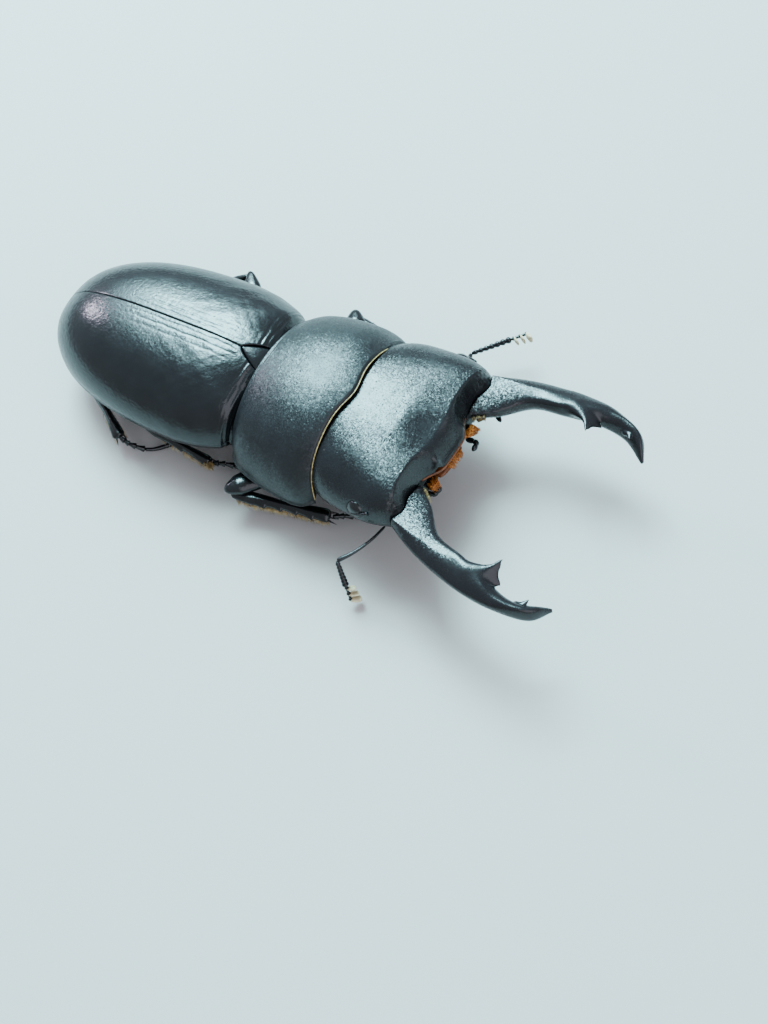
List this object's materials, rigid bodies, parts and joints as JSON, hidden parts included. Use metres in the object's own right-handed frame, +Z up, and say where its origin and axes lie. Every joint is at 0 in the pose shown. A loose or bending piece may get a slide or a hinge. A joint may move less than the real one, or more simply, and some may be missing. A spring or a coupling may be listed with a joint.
{
  "type": "stag beetle",
  "caption": "Life-size male stag beetle with long curved toothed jaws, smooth black wing cases and bent feelers, standing still with its legs drawn in.",
  "frame": {"origin": "on the floor, under the middle of the whole beetle's box, jaws, legs and feelers included", "axes": "+X forward to the jaws, +Y to the beetle's left, +Z up"},
  "size_m": [0.0737, 0.0394, 0.015],
  "materials": {
    "black_shell": "black insect shell, satin and finely grained on head and pronotum, smoother on the wing cases and jaw tips",
    "underside": "blackish brown shell, satin and lightly punctured",
    "eye": "glossy black, finely faceted",
    "amber_fringe": "amber brown with a short golden fringe"
  },
  "bodies": {
    "root": {"abdomen": "underside", "antenna_club_left": "black_shell", "antenna_club_right": "black_shell", "antenna_scape_left": "black_shell", "antenna_scape_right": "black_shell", "chest": "underside", "coxa_fore_left": "black_shell", "coxa_fore_right": "black_shell", "coxa_hind_left": "black_shell", "coxa_hind_right": "black_shell", "coxa_mid_left": "black_shell", "coxa_mid_right": "black_shell", "elytron_left": "black_shell", "elytron_right": "black_shell", "eye_left": "eye", "eye_right": "eye", "femur_fore_left": "black_shell", "femur_fore_right": "black_shell", "femur_hind_left": "black_shell", "femur_hind_right": "black_shell", "femur_mid_left": "black_shell", "femur_mid_right": "black_shell", "head": "black_shell", "labial_palp_left": "black_shell", "labial_palp_right": "black_shell", "labrum": "amber_fringe", "mandible_left": "black_shell", "mandible_right": "black_shell", "maxillary_palp_left": "black_shell", "maxillary_palp_right": "black_shell", "mentum": "underside", "prothorax": "black_shell", "scutellum": "black_shell", "tarsus_fore_left": "black_shell", "tarsus_fore_right": "black_shell", "tarsus_hind_left": "black_shell", "tarsus_hind_right": "black_shell", "tarsus_mid_left": "black_shell", "tarsus_mid_right": "black_shell", "tibia_fore_left": "black_shell", "tibia_fore_right": "black_shell", "tibia_hind_left": "black_shell", "tibia_hind_right": "black_shell", "tibia_mid_left": "black_shell", "tibia_mid_right": "black_shell"}
  },
  "joints": []
}
